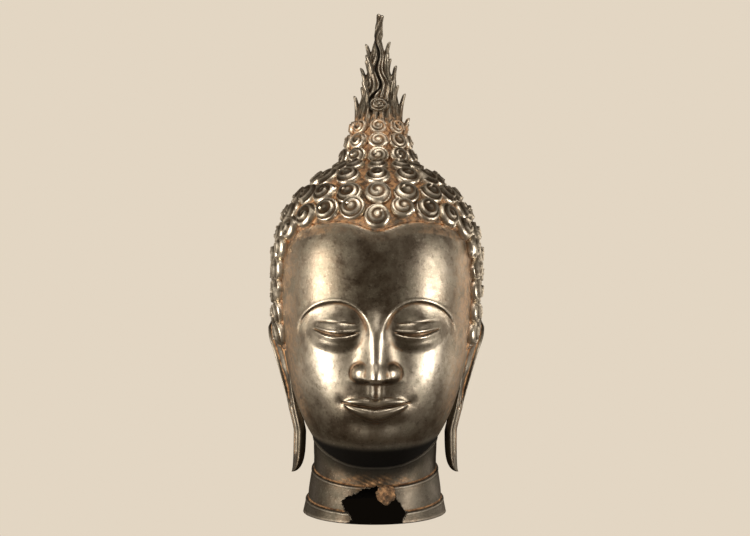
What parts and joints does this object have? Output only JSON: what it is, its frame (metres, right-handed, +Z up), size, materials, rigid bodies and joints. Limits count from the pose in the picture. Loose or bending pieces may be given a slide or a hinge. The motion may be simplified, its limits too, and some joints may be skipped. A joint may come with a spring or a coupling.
{
  "type": "buddha head sculpture",
  "caption": "Hollow cast head with rows of snail-shell curls, a pointed flame finial, long ear lobes and a ringed neck broken open at the front; it stands on the neck's rim.",
  "frame": {"origin": "on the floor under the middle of the head's outer box", "axes": "+Z up to the tip of the flame, the face looks along -Y, +X is to the viewer's right from the front"},
  "size_m": [0.1836, 0.2089, 0.408],
  "materials": {
    "bronze": "worn dark patina with rubbed highlights"
  },
  "bodies": {
    "root": {"buddha_head": "bronze"}
  },
  "joints": []
}
